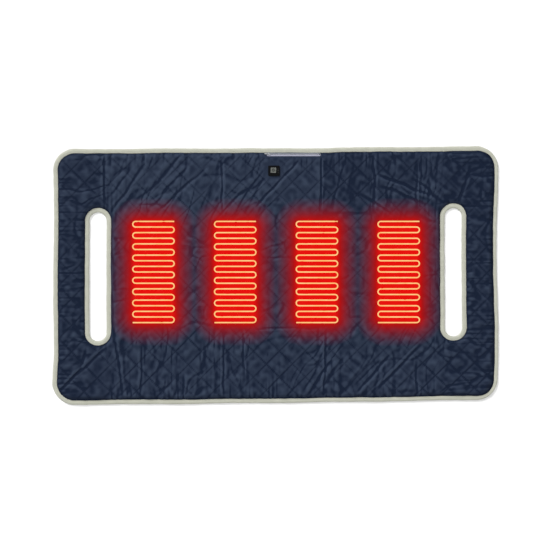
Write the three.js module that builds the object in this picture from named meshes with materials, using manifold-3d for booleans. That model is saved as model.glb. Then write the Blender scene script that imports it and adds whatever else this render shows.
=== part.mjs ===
// A quilted infrared sauna blanket, laid flat with its face up.
// Millimetres. The origin is the middle of the underside, +X runs along the length,
// +Y points to the edge with the zipped pocket and +Z points out of the face.
import * as THREE from "three";
import { mergeVertices } from "three/addons/utils/BufferGeometryUtils.js";
import Module from "manifold-3d";

const wasm = await Module();
wasm.setup();

// ---------------------------------------------------------------- driving dimensions

const GAP = 0.3; // running or resting clearance between neighbouring pieces
const ABOVE = 30; // a height clear above every piece, for cuts that run out of the top

const LENGTH = 1500;
const WIDTH = 860;
const CORNER_RADIUS = 72;
const FABRIC = 0.8; // face and back cloth, each with its lining
const BINDING_WIDTH = 15;
const BINDING_HEIGHT = 4.6;
const BINDING_TAPE = 0.9;
const FACE_TOP = 13.5; // the quilt's thickness
const FACE_UNDER = FACE_TOP - FABRIC;

const SLOT_WIDTH = 58;
const SLOT_LENGTH = 434;
const LEFT_SLOT = [-600, -3];
const RIGHT_SLOT = [601, 9];

const ELEMENT_COUNT = 4;
const ELEMENT_SPACING = 275.7;
const ELEMENT_SHIFT_X = 2;
const RUN_COUNT = 19;
const RUN_PITCH = 18.98;
const FIRST_RUN_Y = 182.6;
const ELEMENT_HALF_WIDTH = 70; // to the middle of the wire at its bends
const WIRE_RADIUS = 1.1;
const WIRE_Z = 11.3;
const CARRIER_HALF_WIDTH = 87.5;
const CARRIER_MARGIN_Y = 21.7; // carrier cloth beyond the first and last runs
const CARRIER_BOTTOM = 9.3;
const CARRIER_TOP = 9.9;
const LEAD_X = ELEMENT_HALF_WIDTH + 12; // where a free end turns towards its trunk
const LAST_RUN_Y = FIRST_RUN_Y - (RUN_COUNT - 1) * RUN_PITCH;

const FEED_TRUNK_Y = 212;
const RETURN_TRUNK_Y = -190;
const RETURN_RISER_X = 525;
const RETURN_TOP_Y = 224;
const SPLICE_LENGTH = 6;
const SPLICE_X = ELEMENT_HALF_WIDTH + GAP + SPLICE_LENGTH / 2;
const CUTOUT_SIZE = [6, 15, 2.2];
const CUTOUT_Y = 252;
const CHANNEL_HALF = 2.5; // half the width of a lead's channel in the wadding

const BATTING_BOTTOM = 1.1;
const BATTING_TOP = 12.4;
const FLAT_INSET = 35; // the quilt is at its full thickness this far in from a rim

const POCKET_LEFT = -31;
const POCKET_RIGHT = 153;
const POCKET_BOTTOM_Y = 234;
const POCKET_MOUTH_Y = 401.4;
const POCKET_TOP_Z = 7.9;
const POCKET_CLOTH = 0.6;
const POCKET_LIP_Z = 11.2; // the mouth's upper lip, under the face cloth
const ZIP_SLOPE = THREE.MathUtils.degToRad(35);
const ZIP_CENTRE_Y = 408.3;
const ZIP_CENTRE_Z = 8.2;
const ZIP_HALF_WIDTH = 7;
const ZIP_TAPE = 0.9;
const TOOTH_PITCH = 4;
const TOOTH_WIDTH = 2.4;
const TOOTH_TIP = 0.5; // from the chain's middle line to a tooth's tip
const TOOTH_ROOT = 1.5;
const SLIDER_LENGTH = 10;
const PULL_PIN_U = 4.5;
const PULL_PIN_W = 4.3;
const PULL_REACH = 14;

const CONTROL_X = -5;
const CONTROL_Y = 353;
const BEZEL_SIZE = [39, 35];
const CONTROL_HOLE = [34, 30]; // in the face cloth, under the bezel
const BEZEL_BOTTOM = FACE_TOP + GAP;
const BEZEL_TOP = 17.2;
const CASE_SIZE = [37, 33];
const CASE_BOTTOM = 8.9;
const CASE_TOP = 12.4;
const CASE_WALL = 1;
const CAP_SIZE = [18.2, 17.8];
const CAP_OFFSET = [-2, 2]; // from the controller's middle
const CAP_TOP = 17.7;
const BUTTON_BOTTOM = 14.9;
const LIP_Z = 16.2; // underside of the lip that keeps the button in
const SWITCH_TOP = 13.3;
const LIGHT_X = 14.2;
const LIGHT_PITCH = 6;
const SCREW_SPOTS = [[-14.2, -11.8], [14.2, 11.8]];
const LEAD_ENTRIES = { supply: -14, feed: -5, return: 4 };

const COLOURS = {
  faceNylon: [0x2f384c, 0.55, 0],
  backNylon: [0x2a3346, 0.6, 0],
  batting: [0xe6e4dc, 0.95, 0],
  binding: [0xbebdb0, 0.85, 0],
  carrier: [0xd8d8d2, 0.9, 0],
  glowWire: [0xffcc66, 0.5, 0],
  lead: [0x8c1f1c, 0.6, 0],
  crimp: [0xb9bcc0, 0.3, 1],
  lining: [0x343b46, 0.8, 0],
  zipTape: [0x80848a, 0.8, 0],
  zipMetal: [0xc8cacc, 0.3, 1],
  black: [0x0c0e10, 0.5, 0],
  lens: [0x52524e, 0.35, 0],
  board: [0x1e5a38, 0.5, 0],
};

// ---------------------------------------------------------------- solids

function material([colour, roughness, metalness]) {
  return new THREE.MeshStandardMaterial({ color: colour, roughness, metalness });
}

function node(name, geometry, colour) {
  const mesh = new THREE.Mesh(geometry, material(colour));
  mesh.name = name;
  return mesh;
}

function toSolid(geometry) {
  const bare = geometry.clone();
  bare.deleteAttribute("normal");
  bare.deleteAttribute("uv");
  const merged = mergeVertices(bare);
  return new wasm.Manifold(new wasm.Mesh({
    numProp: 3,
    vertProperties: new Float32Array(merged.attributes.position.array),
    triVerts: new Uint32Array(merged.index.array),
  }));
}

function toGeometry(solid) {
  const mesh = solid.getMesh();
  const geometry = new THREE.BufferGeometry();
  geometry.setAttribute("position", new THREE.BufferAttribute(mesh.vertProperties, 3));
  geometry.setIndex(new THREE.BufferAttribute(mesh.triVerts, 1));
  geometry.computeVertexNormals();
  return geometry;
}

function cut(body, ...tools) {
  const start = toSolid(body);
  return toGeometry(tools.reduce((solid, tool) => solid.subtract(toSolid(tool)), start));
}

function join(...bodies) {
  const [first, ...rest] = bodies.map(toSolid);
  return toGeometry(rest.reduce((solid, body) => solid.add(body), first));
}

function block([x0, y0, z0], [x1, y1, z1]) {
  const geometry = new THREE.BoxGeometry(x1 - x0, y1 - y0, z1 - z0);
  return geometry.translate((x0 + x1) / 2, (y0 + y1) / 2, (z0 + z1) / 2);
}

function roundedPlate([width, height], radius, z0, z1, [x, y] = [0, 0]) {
  const shape = new THREE.Shape();
  const corners = [[1, 1, 0], [-1, 1, 1], [-1, -1, 2], [1, -1, 3]];
  for (const [sx, sy, quarter] of corners) {
    const start = (quarter * Math.PI) / 2;
    const cx = x + sx * (width / 2 - radius);
    const cy = y + sy * (height / 2 - radius);
    shape.absarc(cx, cy, radius, start, start + Math.PI / 2);
  }
  const depth = z1 - z0;
  const options = { depth, bevelEnabled: false, curveSegments: 4 };
  return new THREE.ExtrudeGeometry(shape, options).translate(0, 0, z0);
}

function upright(radius, z0, z1, [x, y], sides = 12) {
  const geometry = new THREE.CylinderGeometry(radius, radius, z1 - z0, sides);
  return geometry.rotateX(Math.PI / 2).translate(x, y, (z0 + z1) / 2);
}

function ring(outer, inner, z0, z1, sides) {
  const profile = [[inner, z0], [outer, z0], [outer, z1], [inner, z1], [inner, z0]];
  const points = profile.map(([r, z]) => new THREE.Vector2(r, z));
  return new THREE.LatheGeometry(points, sides).rotateX(Math.PI / 2);
}

// Straight round leads between points, joined at their corners into one body.
function leads(routes, radius) {
  const pieces = [];
  for (const route of routes) {
    for (let i = 0; i + 1 < route.length; i += 1) {
      const from = new THREE.Vector3(...route[i]);
      const to = new THREE.Vector3(...route[i + 1]);
      const along = to.clone().sub(from);
      const isLast = i + 2 === route.length;
      const overrun = isLast ? 0 : radius * 0.9; // fills the outside of the corner
      const length = along.length() + overrun;
      along.normalize();
      const rod = new THREE.CylinderGeometry(radius, radius, length, 8);
      rod.translate(0, length / 2, 0);
      rod.applyQuaternion(new THREE.Quaternion().setFromUnitVectors(THREE.Object3D.DEFAULT_UP, along));
      pieces.push(rod.translate(from.x, from.y, from.z));
    }
  }
  return join(...pieces);
}

// ---------------------------------------------------------------- cloth edges

// A rim is a rounded outline of the cloth. inset counts from the finished edge into the
// cloth, so it shrinks the outside rim and grows the rims of the two slots.
const OUTER_RIM = {
  centre: [0, 0],
  half: [LENGTH / 2, WIDTH / 2],
  radius: CORNER_RADIUS,
  grow: -1,
  steps: 6,
};
const LEFT_RIM = slotRim(LEFT_SLOT);
const RIGHT_RIM = slotRim(RIGHT_SLOT);

function slotRim(centre) {
  return { centre, half: [SLOT_WIDTH / 2, SLOT_LENGTH / 2], radius: SLOT_WIDTH / 2, grow: 1, steps: 6 };
}

function rimLoop(rim, inset) {
  const [cx, cy] = rim.centre;
  const reach = rim.radius + rim.grow * inset;
  const points = [];
  const corners = [[1, 1], [-1, 1], [-1, -1], [1, -1]];
  corners.forEach(([sx, sy], quarter) => {
    for (let step = 0; step <= rim.steps; step += 1) {
      const angle = ((quarter + step / rim.steps) * Math.PI) / 2;
      const point = new THREE.Vector2(
        cx + sx * (rim.half[0] - rim.radius) + reach * Math.cos(angle),
        cy + sy * (rim.half[1] - rim.radius) + reach * Math.sin(angle),
      );
      const previous = points[points.length - 1];
      if (!previous || previous.distanceTo(point) > 1e-6) {
        points.push(point);
      }
    }
  });
  return rim.grow > 0 ? points.reverse() : points;
}

function addWall(corners, rim, [upperInset, upperZ], [lowerInset, lowerZ]) {
  const upper = rimLoop(rim, upperInset);
  const lower = rimLoop(rim, lowerInset);
  upper.forEach((start, i) => {
    const j = (i + 1) % upper.length;
    const a = [start.x, start.y, upperZ];
    const b = [upper[j].x, upper[j].y, upperZ];
    const c = [lower[j].x, lower[j].y, lowerZ];
    const d = [lower[i].x, lower[i].y, lowerZ];
    corners.push(a, d, b, b, d, c);
  });
}

function addCap(corners, [inset, z], facesUp) {
  const contour = rimLoop(OUTER_RIM, inset);
  const holes = [rimLoop(LEFT_RIM, inset), rimLoop(RIGHT_RIM, inset)];
  const points = [contour, ...holes].flat();
  for (const face of THREE.ShapeUtils.triangulateShape(contour, holes)) {
    const order = facesUp ? face : [...face].reverse();
    corners.push(...order.map((index) => [points[index].x, points[index].y, z]));
  }
}

function fromCorners(corners) {
  const geometry = new THREE.BufferGeometry();
  geometry.setAttribute("position", new THREE.Float32BufferAttribute(corners.flat(), 3));
  const merged = mergeVertices(geometry);
  merged.computeVertexNormals();
  return merged;
}

// A layer of the whole blanket. The profile's [inset, z] stations run from the middle of
// the top, out over every rim and back to the middle of the underside.
function layer(profile) {
  const corners = [];
  for (const rim of [OUTER_RIM, LEFT_RIM, RIGHT_RIM]) {
    for (let i = 0; i + 1 < profile.length; i += 1) {
      addWall(corners, rim, profile[i], profile[i + 1]);
    }
  }
  addCap(corners, profile[0], true);
  addCap(corners, profile[profile.length - 1], false);
  return fromCorners(corners);
}

// A tape folded over one rim. The closed section runs over the top, outwards and under.
function tape(rim, section) {
  const corners = [];
  section.forEach((station, i) => addWall(corners, rim, station, section[(i + 1) % section.length]));
  return fromCorners(corners);
}

// ---------------------------------------------------------------- the quilt

function frontShell() {
  const profile = [
    [34, FACE_TOP],
    [24, 11.6],
    [18, 7],
    [15.8, 3.1],
    [1.5, 3.1],
    [1.5, 2.3],
    [16.6, 2.3],
    [18.9, 6.6],
    [24.6, 10.8],
    [34.3, FACE_UNDER],
  ];
  const zipNotch = block(
    [POCKET_LEFT - GAP, POCKET_MOUTH_Y + GAP, 0],
    [POCKET_RIGHT + GAP, WIDTH / 2 - BINDING_WIDTH - 2 * GAP, ABOVE],
  );
  const controlHole = roundedPlate(CONTROL_HOLE, 3, 0, ABOVE, [CONTROL_X, CONTROL_Y]);
  return cut(layer(profile), zipNotch, controlHole);
}

function backShell() {
  return layer([
    [22, FABRIC],
    [16.2, 2],
    [1.5, 2],
    [1.5, 1.2],
    [15.9, 1.2],
    [21.5, 0],
  ]);
}

function bindingSection() {
  const top = BINDING_HEIGHT;
  const wall = BINDING_TAPE;
  const round = 1.2; // how far the folded edge is rounded
  return [
    [BINDING_WIDTH, top],
    [round, top],
    [0, top - round],
    [0, round],
    [round, 0],
    [BINDING_WIDTH, 0],
    [BINDING_WIDTH, wall],
    [wall, wall],
    [wall, top - wall],
    [BINDING_WIDTH, top - wall],
  ];
}

function elementX(index) {
  return (index - (ELEMENT_COUNT - 1) / 2) * ELEMENT_SPACING + ELEMENT_SHIFT_X;
}

// Room in the wadding for a lead between two points.
function channel([x0, y0], [x1, y1]) {
  return block(
    [Math.min(x0, x1) - CHANNEL_HALF, Math.min(y0, y1) - CHANNEL_HALF, CARRIER_TOP],
    [Math.max(x0, x1) + CHANNEL_HALF, Math.max(y0, y1) + CHANNEL_HALF, ABOVE],
  );
}

// The wadding, with recesses for the heaters and their leads and an opening for the pocket.
function batting() {
  const body = layer([
    [FLAT_INSET, BATTING_TOP],
    [26, 10.2],
    [21, 6.2],
    [19, 3.2],
    [19, 2.4],
    [22.6, BATTING_BOTTOM],
  ]);
  const tools = [
    block([POCKET_LEFT - GAP, POCKET_BOTTOM_Y - GAP, 0], [POCKET_RIGHT + GAP, WIDTH / 2, ABOVE]),
    channel([elementX(0) + LEAD_X, FEED_TRUNK_Y], [elementX(3) + LEAD_X, FEED_TRUNK_Y]),
    channel([elementX(0) - LEAD_X, RETURN_TRUNK_Y], [RETURN_RISER_X, RETURN_TRUNK_Y]),
    channel([RETURN_RISER_X, RETURN_TRUNK_Y], [RETURN_RISER_X, RETURN_TOP_Y]),
    channel([RETURN_RISER_X, RETURN_TOP_Y], [LEAD_ENTRIES.return, RETURN_TOP_Y]),
    channel([LEAD_ENTRIES.return, RETURN_TOP_Y], [LEAD_ENTRIES.return, POCKET_BOTTOM_Y]),
    channel([LEAD_ENTRIES.feed, FEED_TRUNK_Y], [LEAD_ENTRIES.feed, POCKET_BOTTOM_Y]),
  ];
  for (let index = 0; index < ELEMENT_COUNT; index += 1) {
    const x = elementX(index);
    tools.push(block(
      [x - CARRIER_HALF_WIDTH - 0.5, LAST_RUN_Y - CARRIER_MARGIN_Y - 0.5, CARRIER_BOTTOM - GAP],
      [x + CARRIER_HALF_WIDTH + 0.5, FIRST_RUN_Y + CARRIER_MARGIN_Y + 0.5, ABOVE],
    ));
    tools.push(channel([x + LEAD_X, FIRST_RUN_Y], [x + LEAD_X, FEED_TRUNK_Y]));
    tools.push(channel([x - LEAD_X, LAST_RUN_Y], [x - LEAD_X, RETURN_TRUNK_Y]));
  }
  return cut(body, ...tools);
}

// ---------------------------------------------------------------- heaters and leads

// A curve given by stations, so that a tube along it gets a ring at each of them.
class StationPath extends THREE.Curve {
  constructor(stations) {
    super();
    this.stations = stations;
  }

  getPoint(t, target = new THREE.Vector3()) {
    const index = Math.round(t * (this.stations.length - 1));
    return target.copy(this.stations[index].point);
  }

  getPointAt(u, target) {
    return this.getPoint(u, target);
  }

  getTangentAt(u, target = new THREE.Vector3()) {
    const index = Math.round(u * (this.stations.length - 1));
    return target.copy(this.stations[index].tangent);
  }
}

function serpentineStations() {
  const bendRadius = RUN_PITCH / 2;
  const bendSteps = 4;
  const straight = ELEMENT_HALF_WIDTH - bendRadius;
  const stations = [];
  for (let run = 0; run < RUN_COUNT; run += 1) {
    const y = FIRST_RUN_Y - run * RUN_PITCH;
    const direction = run % 2 === 0 ? -1 : 1;
    if (run === 0) {
      stations.push(station(ELEMENT_HALF_WIDTH, y, [direction, 0]));
    }
    if (run === RUN_COUNT - 1) {
      stations.push(station(-ELEMENT_HALF_WIDTH, y, [direction, 0]));
      break;
    }
    for (let step = 0; step <= bendSteps; step += 1) {
      const angle = (Math.PI * step) / bendSteps;
      const x = direction * (straight + bendRadius * Math.sin(angle));
      const bendY = y - bendRadius + bendRadius * Math.cos(angle);
      stations.push(station(x, bendY, [direction * Math.cos(angle), -Math.sin(angle)]));
    }
  }
  return stations;
}

function station(x, y, [tx, ty]) {
  return { point: new THREE.Vector3(x, y, 0), tangent: new THREE.Vector3(tx, ty, 0) };
}

function heatingWire() {
  const section = new THREE.Shape();
  const sides = 6;
  for (let side = 0; side < sides; side += 1) {
    const angle = (side * 2 * Math.PI) / sides;
    const x = WIRE_RADIUS * Math.cos(angle);
    const y = WIRE_RADIUS * Math.sin(angle);
    if (side === 0) {
      section.moveTo(x, y);
    } else {
      section.lineTo(x, y);
    }
  }
  const stations = serpentineStations();
  const extrudePath = new StationPath(stations);
  return new THREE.ExtrudeGeometry(section, { extrudePath, steps: stations.length - 1 });
}

function carrier() {
  return block(
    [-CARRIER_HALF_WIDTH, LAST_RUN_Y - CARRIER_MARGIN_Y, CARRIER_BOTTOM],
    [CARRIER_HALF_WIDTH, FIRST_RUN_Y + CARRIER_MARGIN_Y, CARRIER_TOP],
  );
}

// A butt crimp between a heater's free end and its lead.
function splice() {
  return new THREE.CylinderGeometry(WIRE_RADIUS, WIRE_RADIUS, SPLICE_LENGTH, 8).rotateZ(Math.PI / 2);
}


function feedHarness() {
  const trunk = [
    [elementX(3) + LEAD_X, FEED_TRUNK_Y, WIRE_Z],
    [elementX(0) + LEAD_X, FEED_TRUNK_Y, WIRE_Z],
  ];
  const riser = [
    [LEAD_ENTRIES.feed, FEED_TRUNK_Y, WIRE_Z],
    [LEAD_ENTRIES.feed, CUTOUT_Y - GAP, WIRE_Z],
  ];
  const branches = elementBranches(1, FIRST_RUN_Y, FEED_TRUNK_Y);
  return leads([trunk, riser, ...branches], WIRE_RADIUS);
}

function returnHarness() {
  const trunk = [
    [elementX(0) - LEAD_X, RETURN_TRUNK_Y, WIRE_Z],
    [RETURN_RISER_X, RETURN_TRUNK_Y, WIRE_Z],
    [RETURN_RISER_X, RETURN_TOP_Y, WIRE_Z],
    [LEAD_ENTRIES.return, RETURN_TOP_Y, WIRE_Z],
    [LEAD_ENTRIES.return, caseEntryY(), WIRE_Z],
  ];
  const branches = elementBranches(-1, LAST_RUN_Y, RETURN_TRUNK_Y);
  return leads([trunk, ...branches], WIRE_RADIUS);
}

// From each heater's free end on one side, out past the bends and on to the trunk.
function elementBranches(side, endY, trunkY) {
  return Array.from({ length: ELEMENT_COUNT }, (_, index) => {
    const x = elementX(index);
    return [
      [x + side * (SPLICE_X + SPLICE_LENGTH / 2 + GAP), endY, WIRE_Z],
      [x + side * LEAD_X, endY, WIRE_Z],
      [x + side * LEAD_X, trunkY, WIRE_Z],
    ];
  });
}

function caseEntryY() {
  return CONTROL_Y - CASE_SIZE[1] / 2 + CASE_WALL + 2;
}

function feedLead() {
  const x = LEAD_ENTRIES.feed;
  return leads([[[x, CUTOUT_Y + CUTOUT_SIZE[1] + GAP, WIRE_Z], [x, caseEntryY(), WIRE_Z]]], WIRE_RADIUS);
}

function thermalCutout() {
  const [width, length, height] = CUTOUT_SIZE;
  return roundedPlate([width, length], 1.5, WIRE_Z - height / 2, WIRE_Z + height / 2)
    .translate(LEAD_ENTRIES.feed, CUTOUT_Y + length / 2, 0);
}

// ---------------------------------------------------------------- pocket and supply

const INLET = { x: -21, y: 302, halfWidth: 6, halfLength: 6, bottom: 2.5, top: 6.7 };
const INLET_MIDDLE_Z = (INLET.bottom + INLET.top) / 2;
const LEAD_HOLE_Y = 286;

function pocketBag() {
  const x0 = POCKET_LEFT;
  const x1 = POCKET_RIGHT;
  const cloth = POCKET_CLOTH;
  const bottom = BATTING_BOTTOM;
  const bag = cut(
    block([x0, POCKET_BOTTOM_Y, bottom], [x1, POCKET_MOUTH_Y, POCKET_TOP_Z]),
    block(
      [x0 + cloth, POCKET_BOTTOM_Y + cloth, bottom + cloth],
      [x1 - cloth, POCKET_MOUTH_Y + 1, POCKET_TOP_Z - cloth],
    ),
    upright(2.6, POCKET_TOP_Z - 2, POCKET_TOP_Z + 1, [LEAD_ENTRIES.supply, LEAD_HOLE_Y]),
  );
  const frontFlap = block([x0, POCKET_MOUTH_Y - 1, bottom], [x1, POCKET_MOUTH_Y + 5.6, bottom + cloth]);
  const lip = block(
    [x0, POCKET_MOUTH_Y - cloth, POCKET_TOP_Z - cloth],
    [x1, POCKET_MOUTH_Y, POCKET_LIP_Z],
  );
  return join(bag, frontFlap, lip);
}

function pocketPadding() {
  const edge = 0.5;
  const body = block(
    [POCKET_LEFT + edge, POCKET_BOTTOM_Y + edge, POCKET_TOP_Z + GAP],
    [POCKET_RIGHT - edge, WIDTH / 2 - FLAT_INSET, BATTING_TOP],
  );
  const room = 2.5; // around the controller's case and the leads that run up to it
  const halfWidth = CASE_SIZE[0] / 2 + room;
  const halfHeight = CASE_SIZE[1] / 2 + room;
  const caseRoom = block(
    [CONTROL_X - halfWidth, CONTROL_Y - halfHeight, 0],
    [CONTROL_X + halfWidth, CONTROL_Y + halfHeight, ABOVE],
  );
  const leadRoom = block(
    [LEAD_ENTRIES.supply - 3 * room, 0, 0],
    [LEAD_ENTRIES.return + 3 * room, CONTROL_Y, ABOVE],
  );
  return cut(body, caseRoom, leadRoom);
}

function powerInlet() {
  const { x, y, halfWidth, halfLength, bottom, top } = INLET;
  const body = roundedPlate([2 * halfWidth, 2 * halfLength], 1.5, bottom, top, [x, y]);
  const mouth = block(
    [x - 4.6, y - halfLength + 2, INLET_MIDDLE_Z - 1.4],
    [x + 4.6, y + halfLength + 1, INLET_MIDDLE_Z + 1.4],
  );
  return cut(body, mouth);
}

function inletTongue() {
  const { x, y, halfLength } = INLET;
  return block(
    [x - 3.4, y - halfLength + 2 + GAP, INLET_MIDDLE_Z - 0.35],
    [x + 3.4, y + halfLength - 2, INLET_MIDDLE_Z + 0.35],
  );
}

function supplyLead() {
  const x = LEAD_ENTRIES.supply;
  return leads([[
    [INLET.x, INLET.y - INLET.halfLength - GAP, INLET_MIDDLE_Z],
    [INLET.x, INLET.y - INLET.halfLength - 4, INLET_MIDDLE_Z],
    [x, LEAD_HOLE_Y, INLET_MIDDLE_Z],
    [x, LEAD_HOLE_Y, WIRE_Z],
    [x, caseEntryY(), WIRE_Z],
  ]], WIRE_RADIUS);
}

// ---------------------------------------------------------------- the zip

// Built level in its own frame: u along the chain, v across it and w out of the quilt.
const ZIP_LENGTH = POCKET_RIGHT - POCKET_LEFT - 2 * GAP;

function zipTape(side) {
  const shape = new THREE.Shape();
  const teeth = Math.floor((ZIP_LENGTH - 8) / TOOTH_PITCH);
  const stagger = side * TOOTH_PITCH / 4; // the two rows are half a pitch apart
  const firstTooth = (ZIP_LENGTH - (teeth - 1) * TOOTH_PITCH - TOOTH_WIDTH) / 2 + stagger;
  shape.moveTo(0, side * ZIP_HALF_WIDTH);
  shape.lineTo(0, side * TOOTH_ROOT);
  for (let tooth = 0; tooth < teeth; tooth += 1) {
    const u = firstTooth + tooth * TOOTH_PITCH;
    shape.lineTo(u, side * TOOTH_ROOT);
    shape.lineTo(u, side * TOOTH_TIP);
    shape.lineTo(u + TOOTH_WIDTH, side * TOOTH_TIP);
    shape.lineTo(u + TOOTH_WIDTH, side * TOOTH_ROOT);
  }
  shape.lineTo(ZIP_LENGTH, side * TOOTH_ROOT);
  shape.lineTo(ZIP_LENGTH, side * ZIP_HALF_WIDTH);
  return new THREE.ExtrudeGeometry(shape, { depth: ZIP_TAPE, bevelEnabled: false });
}

function zipStop() {
  return roundedPlate([2, 1.8], 0.4, -0.4, ZIP_TAPE + 0.6);
}

function zipSlider() {
  const upper = roundedPlate([SLIDER_LENGTH, 7.2], 2, ZIP_TAPE + GAP, 2.4, [SLIDER_LENGTH / 2, 0]);
  const lower = roundedPlate([SLIDER_LENGTH, 7.2], 2, -1.5, -GAP, [SLIDER_LENGTH / 2, 0]);
  const web = block([3, -0.2, -0.4], [7, 0.2, 1.4]);
  const ears = [-1, 1].map((side) => {
    const middle = side * 1.4;
    return block([PULL_PIN_U - 1.2, middle - 0.4, 2.2], [PULL_PIN_U + 1.2, middle + 0.4, 5.1]);
  });
  const pin = new THREE.CylinderGeometry(0.5, 0.5, 2.4, 12).translate(PULL_PIN_U, 0, PULL_PIN_W);
  return join(upper, lower, web, ...ears, pin);
}

function zipPull() {
  const eye = ring(1.5, 0.8, -0.7, 0.7, 16).rotateX(Math.PI / 2);
  eye.translate(PULL_PIN_U, 0, PULL_PIN_W);
  const stem = block(
    [PULL_PIN_U - 6, -0.7, PULL_PIN_W - 0.5],
    [PULL_PIN_U - 1.2, 0.7, PULL_PIN_W + 0.5],
  );
  const paddleLength = PULL_REACH - 5.5;
  const paddle = roundedPlate(
    [paddleLength, 5.2], 1.6, PULL_PIN_W - 0.5, PULL_PIN_W + 0.5,
    [PULL_PIN_U - PULL_REACH + paddleLength / 2, 0],
  );
  return join(eye, stem, paddle);
}

function zip() {
  const group = new THREE.Group();
  group.position.set(POCKET_LEFT + GAP, ZIP_CENTRE_Y, ZIP_CENTRE_Z);
  group.rotation.x = -ZIP_SLOPE;
  const leftStop = node("zip_stop_left", zipStop(), COLOURS.zipMetal);
  const rightStop = node("zip_stop_right", zipStop(), COLOURS.zipMetal);
  leftStop.position.x = 1.4;
  rightStop.position.x = ZIP_LENGTH - 1.4;
  const slider = new THREE.Group();
  slider.position.x = 3;
  slider.add(
    node("zip_slider", zipSlider(), COLOURS.zipMetal),
    node("zip_pull", zipPull(), COLOURS.zipMetal),
  );
  group.add(
    node("zip_tape_lower", zipTape(-1), COLOURS.zipTape),
    node("zip_tape_upper", zipTape(1), COLOURS.zipTape),
    leftStop,
    rightStop,
    slider,
  );
  return group;
}

// ---------------------------------------------------------------- the controller

// Built about the controller's own middle.

function bezel() {
  const [capX, capY] = CAP_SIZE;
  const plate = roundedPlate(BEZEL_SIZE, 4, BEZEL_BOTTOM, BEZEL_TOP - 0.8);
  const raised = roundedPlate([BEZEL_SIZE[0] - 2, BEZEL_SIZE[1] - 2], 3.4, BEZEL_TOP - 1, BEZEL_TOP);
  const bosses = SCREW_SPOTS.map((spot) => upright(2.4, CASE_BOTTOM + 2.6, BEZEL_BOTTOM + 0.5, spot));
  const capHole = roundedPlate([capX + 2 * GAP, capY + 2 * GAP], 2.4, 0, ABOVE, CAP_OFFSET);
  const flangeRoom = roundedPlate([capX + 4, capY + 4], 2.4, 0, LIP_Z, CAP_OFFSET);
  const lightHoles = lightSpots().map((spot) => upright(0.9, 0, ABOVE, spot, 8));
  const lightBarRoom = block([LIGHT_X - 1.4, -9, 0], [LIGHT_X + 1.4, 9, LIP_Z]);
  const screwHoles = SCREW_SPOTS.map((spot) => upright(1.3, 0, BEZEL_BOTTOM + 0.6, spot));
  const body = join(plate, raised, ...bosses);
  return cut(body, capHole, flangeRoom, lightBarRoom, ...lightHoles, ...screwHoles);
}

function lightSpots() {
  return [-1, 0, 1].map((row) => [LIGHT_X, row * LIGHT_PITCH]);
}

function lightGuide() {
  const bar = block([LIGHT_X - 1, -8, BUTTON_BOTTOM], [LIGHT_X + 1, 8, LIP_Z - GAP]);
  const pips = lightSpots().map((spot) => upright(0.6, LIP_Z - 1, BEZEL_TOP, spot, 8));
  return join(bar, ...pips);
}

function buttonCap() {
  const body = roundedPlate(CAP_SIZE, 2.2, BUTTON_BOTTOM, CAP_TOP, CAP_OFFSET);
  const [width, height] = CAP_SIZE;
  const flange = roundedPlate([width + 3, height + 3], 2.2, BUTTON_BOTTOM, LIP_Z - GAP, CAP_OFFSET);
  const symbolRoom = symbolShape(GAP).translate(0, 0, CAP_TOP - 0.7);
  return cut(join(body, flange), symbolRoom);
}

// A ring, open at the top, with a bar that drops into the opening. grow widens it all round.
function symbolShape(grow) {
  const ringBody = ring(5 + grow, 3.6 - grow, 0, 1, 24);
  const opening = block([-1.9 + grow, 2, -1], [1.9 - grow, 8, 2]);
  const bar = block([-0.7 - grow, 0.6 - grow, 0], [0.7 + grow, 6 + grow, 1]);
  const foot = block([-0.5, -4, 0], [0.5, 1, 1]);
  const [x, y] = CAP_OFFSET;
  return join(cut(ringBody, opening), bar, foot).translate(x, y, 0);
}

function powerSymbol() {
  return symbolShape(0).scale(1, 1, 0.4).translate(0, 0, CAP_TOP - 0.4);
}

function switchPlunger() {
  return upright(1.5, SWITCH_TOP + 0.9, BUTTON_BOTTOM - GAP, CAP_OFFSET);
}

function backCase() {
  const [width, height] = CASE_SIZE;
  const inside = [width - 2 * CASE_WALL, height - 2 * CASE_WALL];
  const tray = cut(
    roundedPlate(CASE_SIZE, 3.5, CASE_BOTTOM, CASE_TOP),
    roundedPlate(inside, 2.5, CASE_BOTTOM + CASE_WALL, ABOVE),
  );
  const holes = SCREW_SPOTS.map((spot) => upright(1.3, 0, ABOVE, spot));
  const counterbores = SCREW_SPOTS.map((spot) => upright(2.4, 0, CASE_BOTTOM + 0.6, spot));
  const leadNotches = Object.values(LEAD_ENTRIES).map((x) => {
    const entry = x - CONTROL_X;
    return block(
      [entry - 1.7, -height / 2 - 1, CASE_BOTTOM + CASE_WALL - 0.4],
      [entry + 1.7, -height / 2 + 2, ABOVE],
    );
  });
  return cut(tray, ...holes, ...counterbores, ...leadNotches);
}

function circuitBoard() {
  const bossRoom = SCREW_SPOTS.map(([x, y]) => block([x - 2.8, y - 2.8, 0], [x + 2.8, y + 2.8, ABOVE]));
  const board = block([-16, -11.5, CASE_BOTTOM + CASE_WALL + GAP], [16, 13.5, 11.1]);
  return cut(board, ...bossRoom);
}

function tactSwitch() {
  const [x, y] = CAP_OFFSET;
  const body = block([x - 3, y - 3, 11.4], [x + 3, y + 3, 12.7]);
  return join(body, upright(1.7, 12.5, SWITCH_TOP, CAP_OFFSET));
}

function caseScrew(spot) {
  const head = upright(2.1, CASE_BOTTOM, CASE_BOTTOM + 0.3, spot);
  return join(head, upright(1, CASE_BOTTOM + 0.1, BEZEL_BOTTOM, spot));
}

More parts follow.
